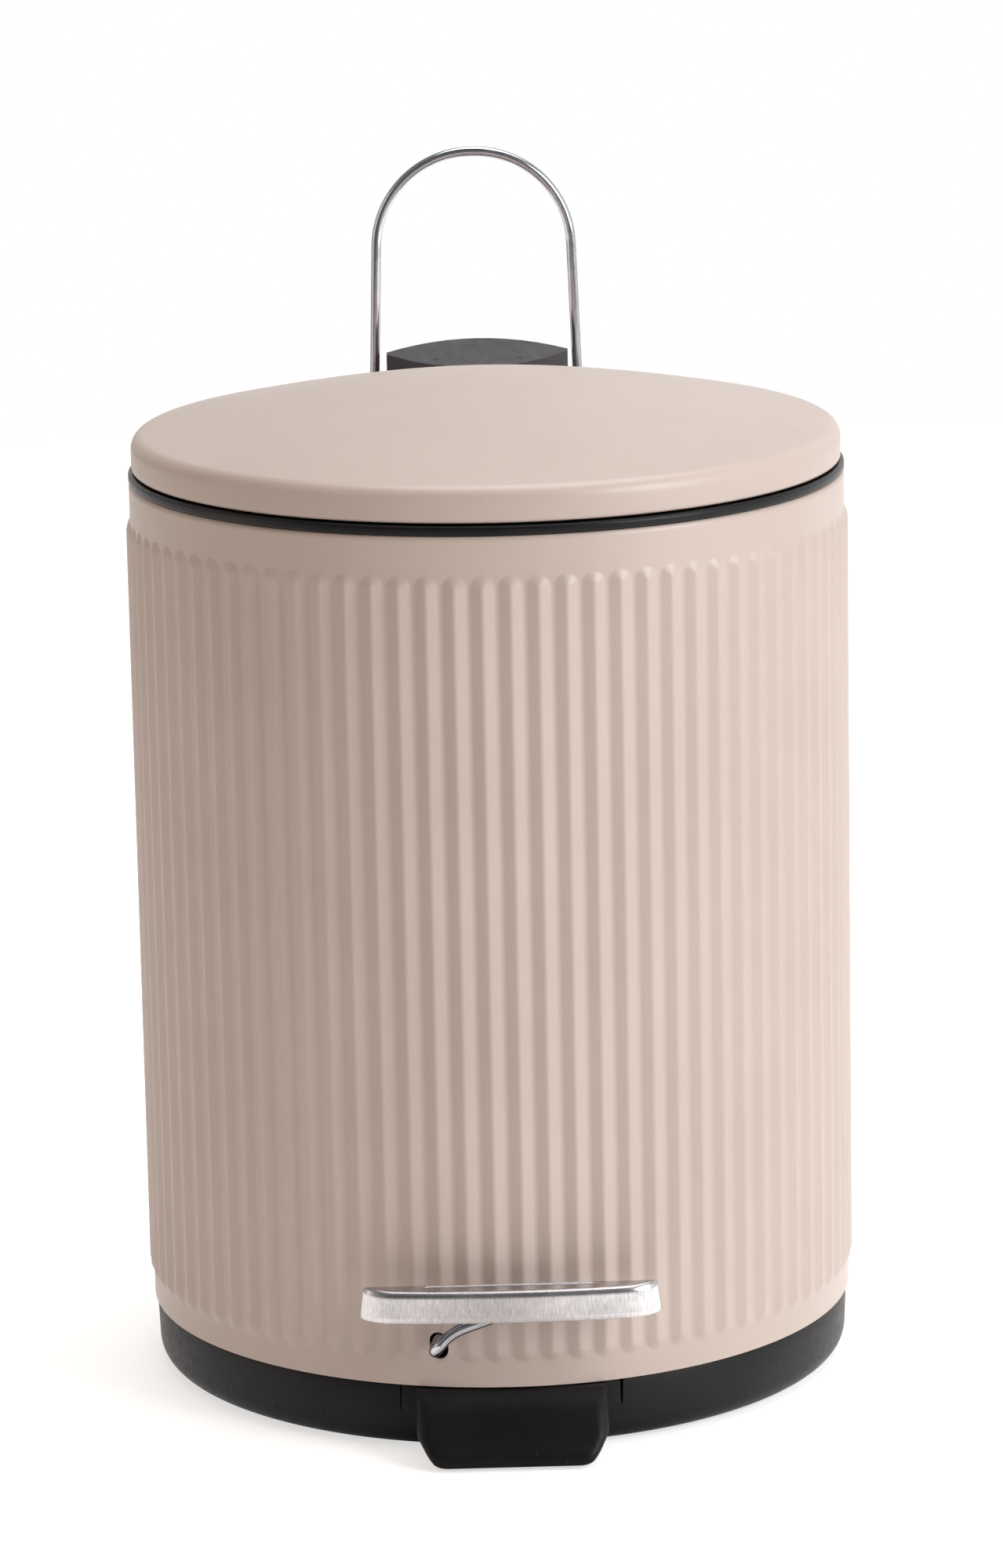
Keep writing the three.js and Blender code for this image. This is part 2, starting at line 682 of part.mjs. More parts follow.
// Everything under the lid's skin moved by inset, as a cutter.
function underLid(inset, floorZ = lidEdgeZ - 5) {
  const top = lidOutline(inset);
  const edge = top.at(-1)[0];
  return turned([...top, [edge, floorZ], [0, floorZ]], 72);
}

// Steel plate under the back of the lid, with the bent-down tab that the push rod hooks into.
function liftPlate() {
  const half = liftWidth / 2;
  const back = hoodFront + liftBack;
  const band = box([-half, hoodFront - liftFront, lidEdgeZ], [half, back, hoodTop]);
  const upper = sheet + clearance; // from the lid's outside down to the plate
  const plate = band.intersect(underLid(upper)).subtract(underLid(upper + liftGauge, lidEdgeZ - 6));
  const reach = liftArm + tabHalf;
  const underSkin = (y) => domeHeight(y) - upper - liftGauge / 2;
  const down = [-Math.cos(halfTravel), -Math.sin(halfTravel)];
  const along = (r, side) => [hingeY + down[0] * r - down[1] * side, hingeZ + down[1] * r + down[0] * side];
  const tabShape = outline([
    [hoodFront - 4, underSkin(hoodFront - 4)],
    along(reach - 1, -tabHalf),
    along(reach, 1 - tabHalf),
    along(reach, tabHalf - 1),
    along(reach - 1, tabHalf),
    along(liftArm * rodArmShare, tabHalf),
    [back - 1, underSkin(back - 1)],
  ]);
  const tab = acrossX(tabShape, tabX, tabX + tabThickness);
  const play = 0.8; // sideways play that the straight-moving rod needs in the turning tab
  const slotHalf = rodWire / 2 + clearance + play;
  const slot = slotShape(along(liftArm * rodArmShare, 0), along(liftArm * 1.06, 0), slotHalf);
  return cut(plate.add(tab), acrossX(slot, 0, tabX + tabThickness + 1), ...lidHoles());
}

// Flat-headed screw from under the lift plate up into the hood.
function lidScrew({ x, y }) {
  const seat = domeHeight(Math.hypot(x, y) + screwHeadRadius) - sheet - 2 * clearance - liftGauge;
  const head = rod([x, y, seat - screwHead], [x, y, seat], screwHeadRadius, 12);
  return head.add(rod([x, y, seat - 1], [x, y, lidScrewTip], screwRadius, 12));
}

// ---------------------------------------------------------------- hood over the hinge

// The hood's block, moved inwards by inset: an arched front, a plan with a bowed front and a side outline.
function hoodBlock(inset) {
  const half = hoodWidth / 2 - inset;
  const top = hoodTop - inset;
  const arch = new THREE.Shape();
  const archDrop = hoodArch * (half / (hoodWidth / 2)) ** 2;
  arch.moveTo(-half, hoodBottom - 10);
  arch.lineTo(-half, top - archDrop);
  arch.quadraticCurveTo(0, top + archDrop, half, top - archDrop);
  arch.lineTo(half, hoodBottom - 10);
  const plan = new THREE.Shape();
  plan.moveTo(-half, hoodFront + hoodBulge + inset);
  plan.lineTo(-half, hoodBack - 3 - inset);
  plan.quadraticCurveTo(-half, hoodBack - inset, -half + 4, hoodBack - inset);
  plan.lineTo(half - 4, hoodBack - inset);
  plan.quadraticCurveTo(half, hoodBack - inset, half, hoodBack - 3 - inset);
  plan.lineTo(half, hoodFront + hoodBulge + inset);
  plan.quadraticCurveTo(0, hoodFront - hoodBulge + inset, -half, hoodFront + hoodBulge + inset);
  const side = new THREE.Shape();
  side.moveTo(hoodFront - 10, hoodFacet(hoodFront - 10) - inset * 1.2);
  side.lineTo(hoodCrestY + 3, hoodFacet(hoodCrestY + 3) - inset * 1.2);
  side.lineTo(hoodBack - 8, top);
  side.quadraticCurveTo(hoodBack - 1 - inset, top - 4, hoodBack - inset, hoodBottom + 3);
  side.lineTo(hoodBack - inset, hoodBottom - inset);
  side.lineTo(hoodFront - 10, hoodBottom - inset);
  return alongY(arch, hoodFront - 12, hoodBack + 5, hoodLean, hoodCrestY)
    .intersect(upright(plan, hoodBottom - 8, hoodTop + 5))
    .intersect(acrossX(side, -half - 5, half + 5));
}

const pinBore = () => rodX(0, hoodWidth, hingeY, hingeZ, pinRadius + clearance, 16);

function hingeHood() {
  const shell = hoodBlock(0).subtract(hoodBlock(plastic));
  const webTop = hoodTop - hoodArch;
  const knuckle = rodX(0, knuckleWidth / 2, hingeY, hingeZ, knuckleRadius);
  const web = box([-knuckleWidth / 2, hingeY - 3, hingeZ], [knuckleWidth / 2, hingeY + 3, webTop]);
  const bosses = lidScrews.map(({ x, y }) => rod([x, y, lidShoulder - 4], [x, y, hoodTop - 6], 4, 16));
  const posts = join(...bosses).intersect(hoodBlock(plastic / 2));
  return cut(join(shell, web, knuckle, posts), underLid(-clearance), ...lidHoles(), pinBore());
}

// ---------------------------------------------------------------- bracket behind the body

const earX = knuckleWidth / 2 + clearance + earWidth / 2;

function hingeBracket() {
  const seat = shellRadius + fluteRise + clearance;
  const half = bracketWidth / 2;
  const plan = new THREE.Shape();
  plan.moveTo(-half, seat - 12);
  plan.lineTo(-half, bracketBack - 5);
  plan.quadraticCurveTo(-half, bracketBack, -half + 6, bracketBack);
  plan.lineTo(half - 6, bracketBack);
  plan.quadraticCurveTo(half, bracketBack, half, bracketBack - 5);
  plan.lineTo(half, seat - 12);
  const side = outline([
    [seat - 12, bracketTop - bracketHeight],
    [seat + 5, bracketTop - bracketHeight],
    [bracketBack - 2, bracketTop - bracketHeight + 4],
    [bracketBack, bracketTop - bracketHeight + 7],
    [bracketBack, bracketTop - 2],
    [bracketBack - 2, bracketTop],
    [seat - 12, bracketTop],
  ]);
  const block = upright(plan, bracketTop - bracketHeight, bracketTop).intersect(acrossX(side, -half, half));
  const ears = [-earX, earX].map((x) =>
    join(
      box([x - earWidth / 2, seat + 0.2, bracketTop - 3], [x + earWidth / 2, hingeY + 1, hingeZ]),
      rodX(x, earWidth / 2, hingeY, hingeZ, knuckleRadius + 0.3),
    ),
  );
  const bodyAndRing = turned([[0, 0], [seat, 0], [seat, hingeZ + 10], [0, hingeZ + 10]], shellFacets);
  const socketEnd = handleFootHalf - handleTurnIn - clearance;
  const socketHalf = (half + 5 - socketEnd) / 2;
  const sockets = [-1, 1].map((side) =>
    rodX(side * (socketEnd + socketHalf), socketHalf, handleY, handleZ, handleWire / 2 + clearance, 16),
  );
  return cut(join(block, ...ears), bodyAndRing, pinBore(), ...sockets, ...bracketHoles(shellBore, seat + 9));
}

// Curved steel plate inside the body that the bracket's screws pull against.
function backingPlate() {
  const outer = shellBore - clearance;
  const [z0, z1] = [bracketTop - bracketHeight + 1, shellTop - rimSkirt - clearance - 0.6];
  const inner = outer - liftGauge;
  const sleeve = turned([[inner, z0], [outer, z0], [outer, z1], [inner, z1], [inner, z0]], shellFacets);
  const half = backingWidth / 2;
  const plate = sleeve.intersect(box([-half, 0, z0 - 1], [half, shellRadius, z1 + 1]));
  return cut(plate, ...bracketHoles(outer - 9, outer + 9));
}

function bracketScrew({ x, z }) {
  const plateInside = shellBore - clearance - liftGauge;
  const inner = Math.sqrt(plateInside ** 2 - (Math.abs(x) + screwHeadRadius) ** 2) - clearance;
  const tip = shellRadius + fluteRise + 8;
  const head = rod([x, inner - screwHead, z], [x, inner, z], screwHeadRadius, 12);
  return head.add(rod([x, inner - 1, z], [x, tip, z], screwRadius, 12));
}

// Hinge pin with a flat head at each end.
function hingePin() {
  const half = earX + earWidth / 2 + clearance;
  const heads = [-1, 1].map((side) =>
    rodX(side * (half + pinHead / 2), pinHead / 2, hingeY, hingeZ, pinRadius + pinHead, 16),
  );
  return join(rodX(0, half + 1, hingeY, hingeZ, pinRadius, 12), ...heads);
}

// ---------------------------------------------------------------- carry handle

function carryHandle() {
  const foot = handleFootHalf;
  const [y, top] = [handleY, handleTopZ];
  const corners = [
    [-foot + handleTurnIn, y, handleZ],
    [-foot, y, handleZ],
    [-handleTopHalf, y, top],
    [handleTopHalf, y, top],
    [foot, y, handleZ],
    [foot - handleTurnIn, y, handleZ],
  ];
  return wire(corners, [3, handleBend, handleBend, 3], handleWire, 10, 9);
}

// ---------------------------------------------------------------- pedal lever, plate and push rod

function pedalLever() {
  const corners = [
    [clipX + clipHalf + 4, wireUnderPlateY, wireUnderPlateZ],
    [clipX - clipHalf - 2, wireUnderPlateY, wireUnderPlateZ],
    knee.toArray(),
    elbow.toArray(),
    [-crankHalf, pivotY, pivotZ],
    [crankHalf, pivotY, pivotZ],
    [leverEndHalf, leverEndY, leverEndZ],
    [-leverEndHalf, leverEndY, leverEndZ],
  ];
  return wire(corners, [8, 14, 3.2, 4, 4, 3.5], leverWire, 8, 15);
}

function pushRod() {
  const corners = [
    [0, leverEndY - 4, rodFootZ],
    [0, rodY, rodFootZ],
    [0, rodY, rodTopZ],
    [tabX + tabThickness + 3, rodY, rodTopZ],
  ];
  return wire(corners, [2.4, 2.4], rodWire, 8, 18);
}

// The plate's plan outline, drawn in by inset: wide front corners and tight back corners.
function plateLoop(inset, z) {
  const [frontBend, backBend] = [plateFrontBend, plateBackBend].map((bend) => Math.max(bend - inset, 0.4));
  const half = plateWidth / 2 - inset;
  const [front, back] = [plateFrontY + inset, plateFrontY + plateDepth - inset];
  const centres = [
    [half - backBend, back - backBend, backBend, 0],
    [-half + backBend, back - backBend, backBend, 90],
    [-half + frontBend, front + frontBend, frontBend, 180],
    [half - frontBend, front + frontBend, frontBend, 270],
  ];
  const points = [];
  for (const [cx, cy, bend, start] of centres)
    for (let k = 0; k <= 5; k++) {
      const a = THREE.MathUtils.degToRad(start + 18 * k);
      points.push([cx + bend * Math.cos(a), cy + bend * Math.sin(a), z]);
    }
  return points;
}

function pedalPlate() {
  const bottom = plateTop - plateSkirt;
  const skin = (inset) => [
    plateLoop(inset, bottom),
    plateLoop(plateFlare + inset, plateTop - 1.6),
    plateLoop(plateFlare + 0.5 + inset, plateTop - 0.5 - inset * 0.6),
    plateLoop(plateFlare + 1.5 + inset, plateTop - inset),
  ];
  const pan = capped([...skin(0).reverse(), ...skin(plateSheet)]);
  const panelFront = plateFrontY + plateFlare + 2;
  const panel = slotShape(
    [-panelWidth / 2 + panelDepth / 2, panelFront + panelDepth / 2],
    [panelWidth / 2 - panelDepth / 2, panelFront + panelDepth / 2],
    panelDepth / 2,
  );
  return pan.subtract(upright(panel, plateTop - panelSink, plateTop + 1));
}

// Strap that holds the lever's end under the plate.
function plateClip() {
  const inner = leverWire / 2 + clearance;
  const [y, z] = [wireUnderPlateY, wireUnderPlateZ];
  const roof = plateTop - plateSheet - clearance;
  const outer = inner + 0.8;
  const strap = outline([
    [y - outer, roof],
    [y - outer, z - outer * 0.5],
    [y - outer * 0.5, z - outer],
    [y + outer * 0.5, z - outer],
    [y + outer, z - outer * 0.5],
    [y + outer, roof],
  ]);
  const bore = slotShape([y, z], [y, roof + 3], inner);
  const strip = acrossX(strap, clipX - clipHalf, clipX + clipHalf);
  return strip.subtract(acrossX(bore, clipX - clipHalf - 1, clipX + clipHalf + 1));
}

// ---------------------------------------------------------------- the assembly

part("outer_shell", outerShell(), powderCoat);
part("base_tray", baseTray(), blackPlastic);
padPlaces.forEach((place, i) => part(`foot_pad_${i + 1}`, footPad(place), padFoam));
part("lever_cap_left", leverCap(-saddleX), blackPlastic);
part("lever_cap_right", leverCap(saddleX), blackPlastic);
part("rim_ring", rimRing(), blackPlastic);
part("hinge_bracket", hingeBracket(), blackPlastic);
part("backing_plate", backingPlate(), zincSteel);
part("bracket_screw_left", bracketScrew(bracketScrews[0]), zincSteel);
part("bracket_screw_right", bracketScrew(bracketScrews[1]), zincSteel);
part("hinge_pin", hingePin(), zincSteel);
part("bucket", bucketBody(), bucketPlastic);
part("bucket_bail", bucketBail(), brightWire);
part("lid_shell", lidShell(), powderCoat);
part("lift_plate", liftPlate(), zincSteel);
part("hinge_hood", hingeHood(), blackPlastic);
part("lid_screw_left", lidScrew(lidScrews[0]), zincSteel);
part("lid_screw_right", lidScrew(lidScrews[1]), zincSteel);
part("carry_handle", carryHandle(), brightWire);
part("pedal_lever", pedalLever(), brightWire);
part("pedal_plate", pedalPlate(), brushedSteel);
part("plate_clip", plateClip(), zincSteel);
part("push_rod", pushRod(), brightWire);

export default bin;
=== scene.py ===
"""Dresses the pedal bin: finer surfaces on the shown pieces, materials, floor, light and camera."""

import json
from math import atan, ceil, cos, hypot, pi, radians, sin, tan

import bmesh
import bpy
from mathutils import Matrix, Vector

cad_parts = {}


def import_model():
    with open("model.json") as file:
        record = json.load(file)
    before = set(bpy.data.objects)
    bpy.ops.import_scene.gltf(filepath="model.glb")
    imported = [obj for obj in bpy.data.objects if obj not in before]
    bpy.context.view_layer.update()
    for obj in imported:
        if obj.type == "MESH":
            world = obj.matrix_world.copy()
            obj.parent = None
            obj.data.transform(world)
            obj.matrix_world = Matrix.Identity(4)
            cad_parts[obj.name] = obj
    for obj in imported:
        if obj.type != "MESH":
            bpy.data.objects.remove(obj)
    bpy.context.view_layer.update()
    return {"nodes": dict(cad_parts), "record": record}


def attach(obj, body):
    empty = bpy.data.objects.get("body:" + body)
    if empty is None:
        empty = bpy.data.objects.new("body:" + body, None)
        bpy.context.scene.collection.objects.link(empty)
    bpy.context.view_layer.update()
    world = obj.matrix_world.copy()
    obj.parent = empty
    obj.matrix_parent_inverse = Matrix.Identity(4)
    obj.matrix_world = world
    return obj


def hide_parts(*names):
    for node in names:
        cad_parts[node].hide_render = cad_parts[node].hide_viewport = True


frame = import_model()
scene = bpy.context.scene

# Sizes in millimetres, in the CAD part's frame. Heights, radii and widths are the CAD part's unless noted.
MM = 1000  # millimetres in a metre
AXIS = 0.01  # radius at which a turned profile starts and ends on its axis
SHELL_R, SHELL_BOTTOM, SHELL_TOP, SHEET = 101.4, 19.2, 258.4, 0.6
FLUTES, FLUTE_RISE, FLUTE_LOW, FLUTE_HIGH = 84, 1.1, 26.2, 247.8
SEAM_FLUTES = (FLUTES // 4 - 1, FLUTES // 4)  # left out at the back, where the seam is
FOOT_R, FOOT_LIFT = 100.7, 1.0
RIM_TOP = 261.2
LID_R, LID_EDGE, LID_SHOULDER, DOME_RISE, DOME_POWER = 100.5, 261.8, 271.9, 14.05, 1.51
LID_ROUND = 4.2  # rounding of the lid's edge, softer than the solid's
LID_CROWN = LID_R - LID_ROUND
PLATE_TOP, PLATE_FRONT, PLATE_DEPTH, PLATE_WIDTH, PLATE_SKIRT = 52.2, -118.5, 10.5, 83.0, 8.8
PLATE_BOW = 3.4  # set-back of the plate's front towards its ends, flat in the solid
PEDAL_Y, PEDAL_Z = -70, 33.5  # axis of the pedal lever
ROD_Y = 92.55  # axis of the push rod
BAIL_Z = 261.65  # axis of the bail
HANDLE_Y, HANDLE_LOW, HANDLE_TOP = 115.5, 247, 335.2
LEVER_D, HANDLE_D, BAIL_D = 3.2, 2.9, 2.5  # diameters of the wires


# ---------------------------------------------------------------- meshes

def solid(name, verts, faces, weld=False):
    """An object of a mesh in millimetres, its faces turned outwards."""
    mesh = bpy.data.meshes.new(name)
    mesh.from_pydata([(x / MM, y / MM, z / MM) for x, y, z in verts], [], faces)
    bm = bmesh.new()
    bm.from_mesh(mesh)
    if weld:
        bmesh.ops.remove_doubles(bm, verts=bm.verts, dist=1e-7)
    bmesh.ops.recalc_face_normals(bm, faces=bm.faces)
    bm.to_mesh(mesh)
    bm.free()
    obj = bpy.data.objects.new(name, mesh)
    scene.collection.objects.link(obj)
    return obj


def piece(name, verts, faces, body, slot, material, nodes=(), sharp=40):
    """A mesh in millimetres as a piece of the object."""
    obj = solid(name, verts, faces, weld=True)
    obj.data.shade_smooth()
    obj.data.set_sharp_from_angle(angle=radians(sharp))
    obj.data.materials.append(material)
    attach(obj, body)
    if nodes:
        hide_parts(*nodes)
    return obj


def grid(loops, ends=False):
    """Vertices and faces through closed loops of equal count, with both ends capped on request."""
    count = len(loops[0])
    verts = [p for loop in loops for p in loop]
    faces = []
    for k in range(len(loops) - 1):
        for i in range(count):
            j = (i + 1) % count
            faces.append((k * count + i, k * count + j, (k + 1) * count + j, (k + 1) * count + i))
    if ends:
        faces.append(tuple(range(count - 1, -1, -1)))
        faces.append(tuple((len(loops) - 1) * count + i for i in range(count)))
    return verts, faces


def circle(r, segments, z, y=0.0):
    """Points round a circle at a height, about X 0."""
    turns = [2 * pi * i / segments for i in range(segments)]
    return [(r * cos(a), y + r * sin(a), z) for a in turns]


def turned(profile, segments=256):
    """A closed profile of (radius, height) turned about Z."""
    return grid([circle(r, segments, z) for r, z in profile + [profile[0]]])


def arc(cx, cy, r, a0, a1, steps):
    """Points of an arc from one angle in degrees to another."""
    turns = [radians(a0 + (a1 - a0) * i / steps) for i in range(steps + 1)]
    return [(cx + r * cos(a), cy + r * sin(a)) for a in turns]


def block(x0, y0, z0, x1, y1, z1):
    """Vertices and faces of a box."""
    verts = [(x, y, z) for x in (x0, x1) for y in (y0, y1) for z in (z0, z1)]
    return verts, [(0, 1, 3, 2), (4, 6, 7, 5), (0, 4, 5, 1), (2, 3, 7, 6), (0, 2, 6, 4), (1, 5, 7, 3)]


def joined(*parts):
    """One list of vertices and faces from several."""
    verts, faces = [], []
    for part_verts, part_faces in parts:
        faces += [tuple(i + len(verts) for i in face) for face in part_faces]
        verts += part_verts
    return verts, faces


def applied(obj):
    """The object's mesh with its modifiers applied, which are then cleared."""
    bpy.context.view_layer.update()
    graph = bpy.context.evaluated_depsgraph_get()
    mesh = bpy.data.meshes.new_from_object(obj.evaluated_get(graph))
    obj.modifiers.clear()
    return mesh


def carve(obj, *shapes):
    """Cuts the shapes out of the piece."""
    tools = [solid("cutter", *shape) for shape in shapes]
    for tool in tools:
        mod = obj.modifiers.new("cut", "BOOLEAN")
        mod.operation, mod.solver, mod.object = "DIFFERENCE", "EXACT", tool
    mesh = applied(obj)
    bm = bmesh.new()
    bm.from_mesh(mesh)
    bmesh.ops.remove_doubles(bm, verts=bm.verts, dist=1e-6)
    bm.to_mesh(mesh)
    bm.free()
    obj.data = mesh
    for tool in tools:
        bpy.data.objects.remove(tool)


def soften(obj, width=0.3):
    """Rounds the sharp edges of the piece."""
    mod = obj.modifiers.new("round", "BEVEL")
    mod.width, mod.segments = width / MM, 2
    mod.limit_method, mod.angle_limit = "ANGLE", radians(35)
    obj.data = applied(obj)


def bent_path(corners, bends, step):
    """Points and headings along straight runs whose corners are rounded by the bends, in steps of degrees."""
    pts = [Vector(c) for c in corners]
    heads = [(b - a).normalized() for a, b in zip(pts, pts[1:])]
    path = [(pts[0], heads[0])]
    for i, r in enumerate(bends, 1):
        into, out = heads[i - 1], heads[i]
        turn = into.angle(out)
        start = pts[i] - into * (r * tan(turn / 2))
        side = (out - into * cos(turn)).normalized()
        n = max(2, ceil(turn / radians(step)))
        for a in (turn * k / n for k in range(n + 1)):
            at = start + into * (r * sin(a)) + side * (r * (1 - cos(a)))
            path.append((at, into * cos(a) + side * sin(a)))
    return path + [(pts[-1], heads[-1])]


def wire(corners, bends, diameter, sides=20, step=4.0, dome=0.25):
    """A wire through the corners, each rounded by its bend, with softened ends."""
    path = bent_path(corners, bends, step)
    radius = diameter / 2
    before = path[0][1]
    normal = before.orthogonal().normalized()
    start = [(0.0, 1 - 2 * dome), (dome * radius * 0.5, 1 - dome * 0.5), (dome * radius, 1.0)]
    loops = []
    for n, (at, along) in enumerate(path):
        normal = before.rotation_difference(along) @ normal
        normal = (normal - along * normal.dot(along)).normalized()
        across, before = along.cross(normal), along
        rings = [(0.0, 1.0)]  # shift along the wire and share of its radius
        if n == 0:
            rings = start
        elif n == len(path) - 1:
            rings = [(-shift, share) for shift, share in reversed(start)]
        turns = [2 * pi * i / sides for i in range(sides)]
        for shift, share in rings:
            loops.append([tuple(at + along * shift + (normal * cos(a) + across * sin(a)) * radius * share)
                          for a in turns])
    return grid(loops, ends=True)


# ---------------------------------------------------------------- material nodes

def new_material(name):
    mat = bpy.data.materials.new(name)
    mat.use_nodes = True
    tree = mat.node_tree
    return mat, tree, tree.nodes["Principled BSDF"]


def feed(tree, socket, value):
    """Links an output to the socket, or sets a plain value on it."""
    if isinstance(value, bpy.types.NodeSocket):
        tree.links.new(value, socket)
    else:
        socket.default_value = value


def node(tree, kind, **sockets):
    """A node with its properties, written with a leading underscore, and its sockets set."""
    n = tree.nodes.new(kind)
    for key, value in sockets.items():
        if key.startswith("_"):
            setattr(n, key[1:], value)
        else:
            feed(tree, n.inputs[key.replace("__", " ")], value)
    return n


def coords(tree, scale=(MM, MM, MM)):
    """Object coordinates in millimetres."""
    place = tree.nodes.new("ShaderNodeTexCoord").outputs["Object"]
    return node(tree, "ShaderNodeMapping", Scale=scale, Vector=place).outputs["Vector"]


def noise(tree, vector, scale, detail=3.0, rough=0.55):
    return node(tree, "ShaderNodeTexNoise", Vector=vector, Scale=scale, Detail=detail,
                Roughness=rough).outputs["Fac"]


def cells(tree, vector, scale):
    """Distance to the nearest of scattered points."""
    return node(tree, "ShaderNodeTexVoronoi", Vector=vector, Scale=scale).outputs["Distance"]


def remap(tree, value, low, high, to_low, to_high):
    return node(tree, "ShaderNodeMapRange", Value=value, From__Min=low, From__Max=high,
                To__Min=to_low, To__Max=to_high).outputs["Result"]


def compute(tree, operation, *values):
    """The result of a Math node on the values."""
    n = node(tree, "ShaderNodeMath", _operation=operation)
    for socket, value in zip(n.inputs, values):
        feed(tree, socket, value)
    return n.outputs[0]


def blend(tree, factor, first, second):
    """A number between two, by a factor."""
    return node(tree, "ShaderNodeMix", Factor=factor, A=first, B=second).outputs["Result"]


def between(tree, factor, first, second):
    """A colour between two, by a factor."""
    n = node(tree, "ShaderNodeMix", _data_type="RGBA")
    ends = [socket for socket in n.inputs if socket.type == "RGBA"]
    for socket, color in zip(ends, (first, second)):
        feed(tree, socket, (*color, 1) if isinstance(color, tuple) else color)
    tree.links.new(factor, n.inputs[0])
    return next(socket for socket in n.outputs if socket.type == "RGBA")


def bump(tree, shader, height, strength, distance, radius=None):
    """Fine relief in millimetres, with edges that look rounded by the radius."""
    n = node(tree, "ShaderNodeBump", Strength=strength, Distance=distance / MM, Height=height)
    if radius:
        edge = node(tree, "ShaderNodeBevel", Radius=radius / MM)
        edge.samples = 4
        tree.links.new(edge.outputs["Normal"], n.inputs["Normal"])
    tree.links.new(n.outputs["Normal"], shader.inputs["Normal"])


def rgb(r, g, b):
    """sRGB 0-255 as linear."""
    return tuple((c / 255 / 12.92) if c <= 10 else ((c / 255 + 0.055) / 1.055) ** 2.4 for c in (r, g, b))


# ---------------------------------------------------------------- materials

def powder_coat():
    mat, tree, shader = new_material("powder_coat")
    at = coords(tree)
    cloud = remap(tree, noise(tree, at, 0.02, 2.0), 0.35, 0.65, 0, 1)
    feed(tree, shader.inputs["Base Color"], between(tree, cloud, rgb(204, 190, 183), rgb(208, 194, 187)))
    feed(tree, shader.inputs["Roughness"], remap(tree, noise(tree, at, 0.25), 0.3, 0.7, 0.36, 0.44))
    shader.inputs["Specular IOR Level"].default_value = 0.7
    bump(tree, shader, noise(tree, at, 1.6, 2.0), 0.12, 0.05)
    return mat


def black_plastic(name, low, high, rough=(0.4, 0.5), dust=0.0, edge=0.5, shine=0.25):
    mat, tree, shader = new_material(name)
    shader.inputs["Specular IOR Level"].default_value = shine
    at = coords(tree)
    color = between(tree, remap(tree, noise(tree, at, 0.05, 2.0), 0.35, 0.65, 0, 1), low, high)
    if dust:
        specks = remap(tree, cells(tree, at, 0.28), 0.03, 0.05, dust, 0)
        color = between(tree, specks, color, (0.35, 0.35, 0.35))
    feed(tree, shader.inputs["Base Color"], color)
    feed(tree, shader.inputs["Roughness"], remap(tree, noise(tree, at, 0.4), 0.3, 0.7, *rough))
    bump(tree, shader, noise(tree, at, 3.0, 2.0), 0.25, 0.03, edge)
    return mat


def brushed_steel():
    """Steel with fine upright brushing on the skirt and a few pits."""
    mat, tree, shader = new_material("brushed_steel")
    streaks = noise(tree, coords(tree, (3000, 3000, 90)), 1.0, 4.0, 0.65)
    at = coords(tree)
    clean = compute(tree, "MULTIPLY", remap(tree, streaks, 0.3, 0.7, 0.35, 1.0),
                    remap(tree, cells(tree, at, 0.45), 0.04, 0.09, 0.0, 1.0))
    feed(tree, shader.inputs["Base Color"], between(tree, clean, rgb(150, 148, 152), rgb(218, 215, 217)))
    feed(tree, shader.inputs["Roughness"], remap(tree, noise(tree, at, 0.12, 2.0), 0.3, 0.7, 0.2, 0.3))
    shader.inputs["Metallic"].default_value = 1.0
    bump(tree, shader, streaks, 0.35, 0.03, 0.4)
    return mat


def steel(name, low, high, rough, grain=0.4):
    mat, tree, shader = new_material(name)
    at = coords(tree)
    feed(tree, shader.inputs["Base Color"],
         between(tree, remap(tree, noise(tree, at, grain), 0.3, 0.7, 0, 1), low, high))
    feed(tree, shader.inputs["Roughness"], remap(tree, noise(tree, at, grain * 2), 0.3, 0.7, *rough))
    shader.inputs["Metallic"].default_value = 1.0
    shader.inputs["Specular Tint"].default_value = (0.5, 0.5, 0.52, 1)
    bump(tree, shader, noise(tree, at, 2.5), 0.08, 0.02)
    return mat


COAT = powder_coat()
BLACK = black_plastic("black_plastic", rgb(18, 17, 19), rgb(23, 22, 24), dust=0.35, shine=0.2)
HOOD = black_plastic("hood_plastic", rgb(54, 51, 56), rgb(62, 59, 64), rough=(0.5, 0.6), edge=0.8, shine=0.6)
RIM = black_plastic("rim_plastic", rgb(16, 15, 18), rgb(21, 20, 23), rough=(0.28, 0.36))
BUCKET = black_plastic("bucket_plastic", rgb(36, 35, 38), rgb(44, 43, 46), shine=0.4)
BRUSHED = brushed_steel()
WIRE = steel("bright_wire", rgb(186, 188, 194), rgb(202, 204, 210), (0.1, 0.16))
ZINC = steel("zinc_steel", rgb(168, 172, 176), rgb(196, 199, 202), (0.28, 0.42), 0.8)
FOAM = black_plastic("pad_foam", rgb(24, 24, 24), rgb(34, 34, 34), rough=(0.85, 0.95))
BY_SLOT = {"powder_coat": COAT, "black_plastic": BLACK, "bucket_plastic": BUCKET, "brushed_steel": BRUSHED,
           "bright_wire": WIRE, "zinc_steel": ZINC, "pad_foam": FOAM}
for entry in frame["record"]["subparts"]:
    obj = frame["nodes"][entry["node"]]
    if not obj.material_slots:
        obj.data.materials.append(None)
    for socket in obj.material_slots:
        socket.material = HOOD if entry["node"] == "hinge_hood" else BY_SLOT[entry["material_slot"]]


# ---------------------------------------------------------------- fluted body

